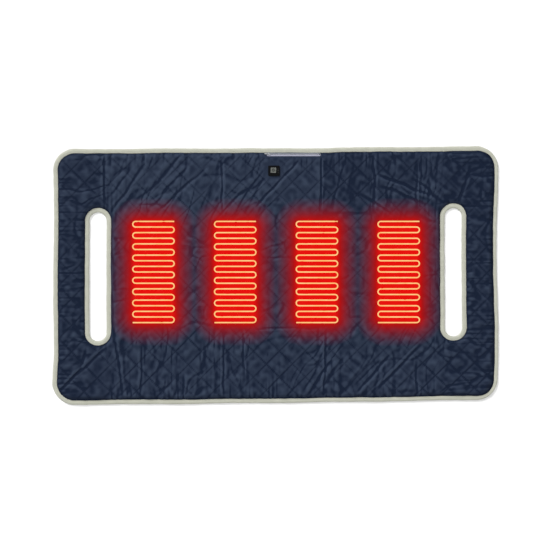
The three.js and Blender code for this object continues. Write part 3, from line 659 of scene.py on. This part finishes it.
def edge_stations(rim, facing, step):
    """The rim's points, the directions into the cloth there and how far round the rim each is."""
    point, inward = rim_path(*rim, step)
    steps = np.linalg.norm(np.roll(point, -1, axis=0) - point, axis=1)
    return point, inward * facing, np.concatenate([[0], np.cumsum(steps)[:-1]])


def bound_edge(name, rim, facing, seed):
    """The folded tape round an edge. facing is 1 if the cloth is inside the edge, -1 if outside."""
    stations = edge_stations(rim, facing, TAPE_STEP)
    rings = [on_tape(*stations, seed, depth, height) for depth, height in TAPE_SECTION]
    return ring_tube(name, np.stack(rings, axis=1), closed=True)


def edge_stitches(name, rim, facing, seed):
    """The row of stitches that holds the folded tape, each a short bowed thread."""
    stations = edge_stations(rim, facing, STITCH_PITCH / 3)
    count = len(stations[0]) // 3 * 3
    half_width, half_height = 0.28, 0.22
    around = [(half_width, 0.0), (0.0, half_height), (-half_width, 0.0), (0.0, -half_height)]
    bow = np.array([-0.15, 0.25, -0.15])
    skins = []
    for across, up in around:
        skin = on_tape(*stations, seed, STITCH_INSET + across, STITCH_HEIGHT)[:count].reshape(-1, 3, 3)
        skin[:, :, 2] += up * MM + bow * MM
        skins.append(skin)
    return many_tubes(name, np.stack(skins, axis=2))


def many_tubes(name, tubes):
    """Short closed tubes in one mesh. tubes holds, for each, its rings of equally many points."""
    count, rings, around = tubes.shape[:3]
    one = [tuple(reversed(range(around)))]
    for ring in range(rings - 1):
        here, after = ring * around, (ring + 1) * around
        for i in range(around):
            j = (i + 1) % around
            one.append((here + i, here + j, after + j, after + i))
    one.append(tuple(range((rings - 1) * around, rings * around)))
    faces = [tuple(tube * rings * around + i for i in face) for tube in range(count) for face in one]
    piece = new_piece(name, tubes.reshape(-1, 3), faces)
    face_outwards(piece)
    return piece


def slot_rim(slot):
    """A slot's rim for rim_path. Its corners are a hair under half its width, so that its ends have a run."""
    return slot.radius, slot.straight + slot.radius, slot.radius * 0.999, (slot.centre.x, slot.centre.y)


def serpentine(low, high):
    """The heating wire's route: runs across, joined by half turns, from the top right."""
    left, right = low.x + WIRE_RADIUS, high.x - WIRE_RADIUS
    top, bottom = high.y - WIRE_RADIUS, low.y + WIRE_RADIUS
    pitch = (top - bottom) / (HEATER_RUNS - 1)
    turn = pitch / 2
    run_steps, turn_steps = 24, 8
    route = []
    for run in range(HEATER_RUNS):
        y = top - run * pitch
        ends = (right - turn, left + turn) if run % 2 == 0 else (left + turn, right - turn)
        start = right if run == 0 else ends[0]
        end = left if run == HEATER_RUNS - 1 else ends[1]
        for i in range(run_steps + 1):
            route.append((start + (end - start) * i / run_steps, y))
        if run < HEATER_RUNS - 1:
            side = -1 if run % 2 == 0 else 1
            for i in range(1, turn_steps):
                angle = math.pi * i / turn_steps
                route.append((end + side * turn * math.sin(angle), y - turn + turn * math.cos(angle)))
    return np.array(route)


def make_glow_lines(quilt):
    """The heating wires' painted glow where they show through the face: a flat bright bead that follows the
    cloth.
    """
    surface = BVHTree.FromObject(quilt, bpy.context.evaluated_depsgraph_get())
    around, proud, above_all = 10, 0.35, 0.1
    pieces = []
    for heater in HEATERS:
        route = serpentine(*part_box(heater))
        heights = np.array([surface.ray_cast((x, y, above_all), (0, 0, -1))[0].z for x, y in route])
        heights = np.convolve(np.pad(heights, 2, mode="edge"), np.ones(5) / 5, mode="valid")
        ahead = np.gradient(route, axis=0)
        ahead /= np.linalg.norm(ahead, axis=1)[:, None]
        aside = np.stack([-ahead[:, 1], ahead[:, 0]], axis=1)
        rings = []
        for i in range(around):
            angle = 2 * math.pi * i / around
            spot = route + aside * GLOW_HALF_WIDTH * math.cos(angle)
            height = heights + GLOW_HALF_HEIGHT * (math.sin(angle) + proud)
            rings.append(np.stack([spot[:, 0], spot[:, 1], height], axis=1))
        name = heater.replace("heating_wire", "heating_line")
        piece = ring_tube(name, np.stack(rings, axis=1), closed=False)
        pieces.append((piece, heater))
    return pieces


def in_zip(u, v, w):
    """A point of the zip's own frame: u along the chain, v down the slope and w out of the quilt."""
    y = ZIP_MIDDLE_Y + v * math.cos(ZIP_SLOPE) + w * math.sin(ZIP_SLOPE)
    z = ZIP_MIDDLE_Z - v * math.sin(ZIP_SLOPE) + w * math.cos(ZIP_SLOPE)
    return np.stack(np.broadcast_arrays(ZIP_LOW.x + u, y, z), axis=-1)


def zip_side(name, side):
    """One side's woven tape and its width. Its far edge is tucked under the face (-1) or the binding (1)."""
    length = ZIP_HIGH.x - ZIP_LOW.x
    trim = 0.3 * MM
    along = np.linspace(trim, length - trim, 140)
    sway = 0.10 * MM * noise(along / 0.010, along * 0, 91 + side)
    middle = [(side * 1.3 * MM, 0.45 * MM), (side * 4.0 * MM, 0.40 * MM), (side * 7.0 * MM, 0.45 * MM)]
    line = [in_zip(along, v, w + sway) for v, w in middle]
    tucked = line[-1].copy()
    tucked[:, 1] += side * ZIP_TUCK
    tucked[:, 2] += (0.2 if side < 0 else -1.6) * MM
    line.append(tucked)
    half = np.array([0, 0, ZIP_TAPE_THICKNESS / 2])
    loop = [points + half for points in line] + [points - half for points in line[::-1]]
    return ring_tube(name, np.stack(loop, axis=1), closed=False), ZIP_TAPE_SHOWN + ZIP_TUCK


def zip_teeth(name, side):
    """A side's row of moulded teeth, each with chamfered edges. The two rows are half a pitch apart."""
    length = ZIP_HIGH.x - ZIP_LOW.x
    bare_ends = 8 * MM
    teeth = math.floor((length - bare_ends) / TOOTH_PITCH)
    stagger = side * TOOTH_PITCH / 4
    first = (length - (teeth - 1) * TOOTH_PITCH) / 2 + stagger
    inner_half = [(-1.2, 0.75), (-0.95, 0.5), (0.95, 0.5), (1.2, 0.75)]
    outer_half = [(1.2, 2.3), (0.8, 2.7), (-0.8, 2.7), (-1.2, 2.3)]
    middle_v = 1.6
    middles = first + TOOTH_PITCH * np.arange(teeth)
    rings = []
    for w, shrink in ((-0.05, 0.85), (0.10, 1.0), (0.80, 1.0), (1.02, 0.72)):
        ring = []
        for u, v in inner_half + outer_half:
            v_here = side * (middle_v + (v - middle_v) * shrink) * MM
            ring.append(in_zip(middles + u * shrink * MM, v_here, w * MM))
        rings.append(np.stack(ring, axis=1))
    return many_tubes(name, np.stack(rings, axis=1))


def face_outwards(piece):
    """Turns every face's front to the outside."""
    body = bmesh.new()
    body.from_mesh(piece.data)
    bmesh.ops.recalc_face_normals(body, faces=body.faces)
    body.to_mesh(piece.data)
    body.free()


def soften_edges(node, width):
    """Rounds the edges of a hard CAD part a little, by modifiers. Its facets are joined first."""
    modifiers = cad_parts[node].modifiers
    weld = modifiers.new("joined_facets", "WELD")
    weld.merge_threshold = 0.005 * MM  # for corners that coincide; a 0.004 mm sliver in the pull closes too
    bevel = modifiers.new("soft_edges", "BEVEL")
    bevel.width = width
    bevel.segments = 2
    bevel.limit_method = "ANGLE"
    bevel.angle_limit = math.radians(40)
    bevel.harden_normals = True


# -------------------- materials


class Nodes:
    """A material's node tree, with short calls to add and join nodes."""

    def __init__(self, name):
        self.material = bpy.data.materials.new(name)
        self.material.use_nodes = True
        self.tree = self.material.node_tree
        self.shader = self.tree.nodes["Principled BSDF"]
        self.place = self.add("ShaderNodeTexCoord").outputs["Object"]

    def add(self, kind, **settings):
        """A new node with these settings."""
        node = self.tree.nodes.new(kind)
        for name, value in settings.items():
            setattr(node, name, value)
        return node

    def join(self, output, socket):
        """Links an output to a socket."""
        self.tree.links.new(output, socket)

    def math(self, operation, first, second=None, third=None):
        """One sum, on numbers or on other nodes' outputs."""
        node = self.add("ShaderNodeMath", operation=operation)
        for index, value in enumerate((first, second, third)):
            if isinstance(value, (int, float)):
                node.inputs[index].default_value = value
            elif value is not None:
                self.join(value, node.inputs[index])
        return node.outputs[0]

    def axes(self):
        """The point's own x, y and z."""
        split = self.add("ShaderNodeSeparateXYZ")
        self.join(self.place, split.inputs[0])
        return split.outputs

    def noise(self, scale, detail=3, stretch=(1, 1, 1), roughness=0.55):
        """Random values from 0 to 1, scale of them to a metre."""
        mapping = self.add("ShaderNodeMapping")
        mapping.inputs["Scale"].default_value = stretch
        self.join(self.place, mapping.inputs["Vector"])
        texture = self.add("ShaderNodeTexNoise")
        texture.inputs["Scale"].default_value = scale
        texture.inputs["Detail"].default_value = detail
        texture.inputs["Roughness"].default_value = roughness
        self.join(mapping.outputs[0], texture.inputs["Vector"])
        return texture.outputs["Fac"]

    def weave(self, pitch):
        """Threads that cross at that pitch, in metres: 1 on the crossings and 0 between the threads."""
        bands_per_unit = 20 / (2 * math.pi)
        waves = []
        for axis in ("X", "Y"):
            texture = self.add("ShaderNodeTexWave", bands_direction=axis, wave_profile="SIN")
            texture.inputs["Scale"].default_value = 1 / pitch / bands_per_unit
            self.join(self.place, texture.inputs["Vector"])
            waves.append(texture.outputs["Fac"])
        return self.math("MULTIPLY", *waves)

    def ramp(self, value, stops):
        """The colour that the stops give for a value."""
        node = self.add("ShaderNodeValToRGB")
        elements = node.color_ramp.elements
        while len(elements) < len(stops):
            elements.new(0.5)
        for element, (position, colour) in zip(elements, stops):
            element.position = position
            element.color = (*colour, 1)
        self.join(value, node.inputs[0])
        return node.outputs["Color"]

    def bump(self, height, strength, distance, normal=None):
        """A normal for a surface with this relief, on top of another normal if there is one."""
        node = self.add("ShaderNodeBump")
        node.inputs["Strength"].default_value = strength
        node.inputs["Distance"].default_value = distance
        self.join(height, node.inputs["Height"])
        if normal is not None:
            self.join(normal, node.inputs["Normal"])
        return node.outputs["Normal"]

    def set(self, **values):
        """Constants on the shader's own sockets, named with _ for each space."""
        for name, value in values.items():
            self.shader.inputs[name.replace("_", " ")].default_value = value

    def feed(self, **outputs):
        """Links nodes' outputs to the shader's own sockets, named in the same way."""
        for name, output in outputs.items():
            self.join(output, self.shader.inputs[name.replace("_", " ")])


def srgb(red, green, blue):
    """Linear colour from 0-255 screen values."""
    shares = [value / 255 for value in (red, green, blue)]
    return tuple(((v + 0.055) / 1.055) ** 2.4 if v > 0.04045 else v / 12.92 for v in shares)


def glow(nodes):
    """How far a point is from the nearest heater's core, 1 where the glow ends, and the red glow there."""
    first_low, first_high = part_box(HEATERS[0])
    second_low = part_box(HEATERS[1])[0]
    spacing = second_low.x - first_low.x
    middle_x = (first_low.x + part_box(HEATERS[-1])[1].x) / 2
    middle_y = (first_low.y + first_high.y) / 2
    half_x = (first_high.x - first_low.x) / 2 - GLOW_CORE_INSET
    half_y = (first_high.y - first_low.y) / 2 - GLOW_CORE_INSET
    first_cell, last_cell = -len(HEATERS) // 2, len(HEATERS) // 2 - 1
    x, y, _ = nodes.axes()
    from_middle = nodes.math("SUBTRACT", x, middle_x)
    cell = nodes.math("FLOOR", nodes.math("DIVIDE", from_middle, spacing))
    cell = nodes.math("MINIMUM", nodes.math("MAXIMUM", cell, first_cell), last_cell)
    centre = nodes.math("MULTIPLY", nodes.math("ADD", cell, 0.5), spacing)
    off_x = nodes.math("ABSOLUTE", nodes.math("SUBTRACT", from_middle, centre))
    off_y = nodes.math("ABSOLUTE", nodes.math("SUBTRACT", y, middle_y))
    out_x = nodes.math("SUBTRACT", off_x, half_x)
    out_y = nodes.math("SUBTRACT", off_y, half_y)
    far_x = nodes.math("MAXIMUM", out_x, 0)
    far_y = nodes.math("MAXIMUM", out_y, 0)
    square = nodes.math("ADD", nodes.math("MULTIPLY", far_x, far_x), nodes.math("MULTIPLY", far_y, far_y))
    share = nodes.math("DIVIDE", nodes.math("SQRT", square), GLOW_REACH)
    patchy = nodes.math("MULTIPLY_ADD", nodes.noise(28, 3), 0.10, -0.05)
    red = nodes.ramp(nodes.math("ADD", share, patchy), [
        (0.12, srgb(228, 6, 0)),
        (0.22, srgb(200, 6, 4)),
        (0.31, srgb(164, 8, 10)),
        (0.44, srgb(132, 8, 14)),
        (0.57, srgb(100, 7, 14)),
        (0.70, srgb(76, 5, 11)),
        (0.84, srgb(48, 3, 7)),
        (1.0, (0, 0, 0)),
    ])
    return share, red


def seam_stitches(nodes):
    """1 on the quilting's threads, and how far the nearest seam is, in metres."""
    place = nodes.add("ShaderNodeAttribute", attribute_name="flat").outputs["Vector"]
    split = nodes.add("ShaderNodeSeparateXYZ")
    nodes.join(place, split.inputs[0])
    x, y, _ = split.outputs
    diagonals = nodes.math("ADD", x, y), nodes.math("SUBTRACT", x, y)
    threads, distances = [], []
    for across, along in (diagonals, diagonals[::-1]):
        turns = nodes.math("DIVIDE", across, QUILT)
        off = nodes.math("ABSOLUTE", nodes.math("SUBTRACT", turns, nodes.math("ROUND", turns)))
        distance = nodes.math("MULTIPLY", off, QUILT / math.sqrt(2))
        on_line = nodes.math("LESS_THAN", distance, SEAM_THREAD)
        stitch = nodes.math("FRACT", nodes.math("DIVIDE", along, SEAM_STITCH * math.sqrt(2)))
        threads.append(nodes.math("MULTIPLY", on_line, nodes.math("LESS_THAN", stitch, 0.62)))
        distances.append(distance)
    return nodes.math("MAXIMUM", *threads), nodes.math("MINIMUM", *distances)


def face_nylon():
    """The face's nylon: painted shade in its creases and painted light on its ridges, woven, stitched along
    the seams, with a painted red glow over the heaters.
    """
    nodes = Nodes("face_nylon")
    thread, from_seam = seam_stitches(nodes)
    # the cloth's navy, with painted shade for the hollows and painted light for the raised cloth
    painted_shade_navy, navy, painted_light_navy = srgb(17, 27, 46), srgb(33, 42, 60), srgb(49, 59, 77)
    # painted light and shade, kept on the quilt's points
    painted_light_and_shade = nodes.add("ShaderNodeAttribute", attribute_name="painted_light_and_shade").outputs["Fac"]
    uneven = nodes.math("MULTIPLY_ADD", nodes.noise(9, 4), 0.14, -0.07)
    shade = nodes.math("ADD", nodes.math("MULTIPLY_ADD", painted_light_and_shade, 0.60, 0.5), uneven)
    cloth = nodes.ramp(shade, [(0.20, painted_shade_navy), (0.50, navy), (0.98, painted_light_navy)])
    share, red = glow(nodes)
    # painted glow: near the heaters the cloth's colour gives way to a near-black red under the painted red
    # emission
    veil = nodes.add("ShaderNodeMix", data_type="RGBA")
    nodes.join(nodes.ramp(share, [(0.30, (1, 1, 1)), (0.85, (0, 0, 0))]), veil.inputs["Factor"])
    nodes.join(cloth, veil.inputs["A"])
    veil.inputs["B"].default_value = (0.02, 0.0, 0.0, 1)
    crinkle = nodes.bump(nodes.noise(55, 5, stretch=(1, 1, 0.2)), 0.5, 1.2 * MM)
    woven_normal = nodes.bump(nodes.weave(0.7 * MM), 0.35, 0.12 * MM, crinkle)
    groove = nodes.math("MINIMUM", nodes.math("DIVIDE", from_seam, SEAM_GROOVE), 1)
    sewn = nodes.math("ADD", groove, nodes.math("MULTIPLY", thread, 0.6))
    nodes.feed(
        Base_Color=veil.outputs["Result"],
        Emission_Color=red,
        Roughness=nodes.math("MULTIPLY_ADD", nodes.noise(60, 2), 0.12, 0.54),
        Normal=nodes.bump(sewn, 0.8, 0.5 * MM, woven_normal),
    )
    nodes.set(Emission_Strength=1.0, Specular_IOR_Level=0.06)
    return nodes.material


def tint(nodes, colour, dark, light, scale):
    """A base colour, from 0-255 screen values, that varies a little from place to place."""
    stops = [(at, [c * shade for c in srgb(*colour)]) for at, shade in ((0.3, dark), (0.7, light))]
    nodes.feed(Base_Color=nodes.ramp(nodes.noise(scale, 4), stops))


def woven(name, colour, pitch, roughness, sheen=0.2, variation=(0.88, 1.08)):
    """A plain-weave fabric with a slight nap."""
    nodes = Nodes(name)
    tint(nodes, colour, *variation, 45)
    nap = nodes.bump(nodes.noise(260, 4), 0.25, 0.4 * MM)
    nodes.feed(Normal=nodes.bump(nodes.weave(pitch), 0.5, 0.25 * MM, nap))
    nodes.feed(Roughness=nodes.math("MULTIPLY_ADD", nodes.noise(90), 0.12, roughness))
    nodes.set(Sheen_Weight=sheen, Sheen_Roughness=0.5, Specular_IOR_Level=0.3)
    return nodes.material


def moulded(name, colour, roughness, coat=0.0, level=0.2):
    """A moulded plastic or rubber with a fine grain."""
    nodes = Nodes(name)
    tint(nodes, colour, 0.85, 1.15, 120)
    nodes.feed(Normal=nodes.bump(nodes.noise(900, 3), 0.18, 0.1 * MM))
    nodes.feed(Roughness=nodes.math("MULTIPLY_ADD", nodes.noise(200), 0.15, roughness))
    nodes.set(Coat_Weight=coat, Specular_IOR_Level=level)
    return nodes.material


def metal(name, colour, roughness):
    """A plated metal with fine brushing."""
    nodes = Nodes(name)
    tint(nodes, colour, 0.85, 1.1, 300)
    brushing = nodes.noise(700, 3, stretch=(0.1, 1, 1))
    nodes.feed(Normal=nodes.bump(brushing, 0.15, 0.05 * MM))
    nodes.feed(Roughness=nodes.math("MULTIPLY_ADD", brushing, 0.2, roughness))
    nodes.set(Metallic=1.0)
    return nodes.material


def painted_wire_glow():
    """The wire's painted glow: a bright warm yellow, a little uneven along its length."""
    nodes = Nodes("heating_wire")
    stops = [(0.3, srgb(253, 190, 114)), (0.7, srgb(255, 208, 142))]
    nodes.feed(Emission_Color=nodes.ramp(nodes.noise(30, 2), stops))
    nodes.set(Base_Color=(0.05, 0.02, 0.0, 1), Emission_Strength=1.0, Roughness=0.6, Specular_IOR_Level=0.1)
    return nodes.material


def plain_name(material):
    """A material's name without the number that Blender adds when a name is taken."""
    return material.name.split(".")[0]


def make_materials():
    """One material for each of the record's slots, and ones for stitches, teeth and the shaded zip tape."""
    made = [
        face_nylon(),
        woven("back_nylon", (52, 58, 74), 0.9 * MM, 0.55),
        woven("binding", (177, 178, 164), 1.1 * MM, 0.8, sheen=0.3, variation=(0.93, 1.05)),
        woven("batting", (236, 234, 228), 3 * MM, 0.9, sheen=0.5),
        woven("lining", (40, 44, 56), 0.7 * MM, 0.6),
        woven("carrier", (210, 206, 196), 1.4 * MM, 0.85),
        woven("zip_tape", (142, 143, 160), 0.8 * MM, 0.65),
        # painted shade: a darker copy of the zip tape's cloth for the upper tape, which lies in the binding's
        # shade
        woven("zip_tape_in_shade", (94, 99, 106), 0.8 * MM, 0.65),
        woven("thread", (200, 200, 188), 0.5 * MM, 0.7),
        moulded("zip_tooth", (176, 176, 190), 0.35),
        painted_wire_glow(),
        moulded("lead", (30, 30, 33), 0.45),
        moulded("controller", (4, 5, 7), 0.5, level=0.08),
        moulded("symbol", (14, 15, 16), 0.5),
        moulded("lens", (84, 87, 82), 0.4, coat=0.1),
        moulded("board", (20, 90, 48), 0.4, coat=0.3),
        metal("crimp", (190, 176, 150), 0.3),
        metal("zip_metal", (200, 202, 206), 0.25),
    ]
    return {plain_name(material): material for material in made}


def paint_nodes(materials):
    """Every CAD node gets its slot's material."""
    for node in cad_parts.values():
        for slot in node.material_slots:
            slot.material = materials[plain_name(slot.material)]


def floor_material():
    """The matt white floor."""
    nodes = Nodes("floor_white")
    nodes.set(Base_Color=(0.93, 0.93, 0.93, 1), Roughness=0.8, Specular_IOR_Level=0.1)
    return nodes.material


# -------------------- light, floor and camera


def make_stage():
    """A white floor out to the horizon, an even white world, and three lights."""
    reach = 200
    corners = [(-reach, -reach, 0), (reach, -reach, 0), (reach, reach, 0), (-reach, reach, 0)]
    floor = new_piece("floor", corners, [(0, 1, 2, 3)])
    floor.location.z = -0.4 * MM
    floor.data.materials.append(floor_material())
    world = bpy.data.worlds.new("studio")
    world.use_nodes = True
    background = world.node_tree.nodes["Background"]
    background.inputs["Color"].default_value = (1, 1, 1, 1)
    background.inputs["Strength"].default_value = 0.38
    bpy.context.scene.world = world
    add_light("overhead", "AREA", (-0.9, 1.0, 6.0), 70, 2.0)
    add_light("side", "SUN", (-3.4, 4.4, 2.9), 3.2, math.radians(22))
    add_light("fill", "SUN", (4.0, -3.5, 3.6), 1.1, math.radians(36))
    bpy.context.scene.view_settings.view_transform = "Standard"


def add_light(name, kind, place, strength, size):
    """A light that shines from a place towards the blanket. A sun's size is the angle it takes up."""
    data = bpy.data.lights.new(name, kind)
    data.energy = strength
    if kind == "SUN":
        data.angle = size
    else:
        data.size = size
    light = bpy.data.objects.new(name, data)
    light.location = place
    light.rotation_euler = (-Vector(place)).to_track_quat("-Z", "Y").to_euler()
    bpy.context.scene.collection.objects.link(light)


def make_camera():
    """Straight above, so high that the blanket takes up its share of the picture's width."""
    data = bpy.data.cameras.new("camera")
    data.lens = 100
    camera = bpy.data.objects.new("camera", data)
    seen_width = 2 * HALF_LENGTH / LENGTH_SHARE
    camera.location = (0, 0, data.lens / data.sensor_width * seen_width)
    bpy.context.scene.collection.objects.link(camera)
    bpy.context.scene.camera = camera


# -------------------- assembly


def place(piece, material, slot, *replaced):
    """Gives a piece its material, puts it on the blanket's body and hides the CAD nodes it is shown for. The
    slot is not used.
    """
    piece.data.materials.clear()
    piece.data.materials.append(material)
    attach(piece, "blanket")
    if replaced:
        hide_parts(*replaced)


make_camera()
make_stage()
materials = make_materials()
paint_nodes(materials)

quilt = make_quilt()
place(quilt, materials["face_nylon"], "face_nylon", "front_shell", "batting", "pocket_padding")

back = make_back()
place(back, materials["back_nylon"], "back_nylon", "back_shell")

outside_rim = (HALF_LENGTH, HALF_WIDTH, CORNER_RADIUS, (0, 0))
for name, node, rim, facing, length, seed in (
    ("edge", "edge_binding", outside_rim, 1, EDGE_TAPE_LENGTH, 71),
    ("left_slot", "left_slot_binding", slot_rim(LEFT_SLOT), -1, SLOT_TAPE_LENGTH, 75),
    ("right_slot", "right_slot_binding", slot_rim(RIGHT_SLOT), -1, SLOT_TAPE_LENGTH, 79),
):
    tape = bound_edge(f"{name}_tape", rim, facing, seed)
    place(tape, materials["binding"], "binding", node)
    thread = edge_stitches(f"{name}_stitches", rim, facing, seed)
    place(thread, materials["thread"], "binding")

for line, heater in make_glow_lines(quilt):
    place(line, materials["heating_wire"], "heating_wire", heater)

for name, side, cloth in (("lower", -1, "zip_tape"), ("upper", 1, "zip_tape_in_shade")):
    tape, width = zip_side(f"zip_side_{name}", side)
    place(tape, materials[cloth], "zip_tape", f"zip_tape_{name}")
    teeth = zip_teeth(f"zip_teeth_{name}", side)
    place(teeth, materials["zip_tooth"], "zip_tape")

for node in ("zip_slider", "zip_pull", "zip_stop_left", "zip_stop_right", "button_cap", "power_symbol"):
    soften_edges(node, 0.15 * MM)
soften_edges("controller_bezel", 0.5 * MM)
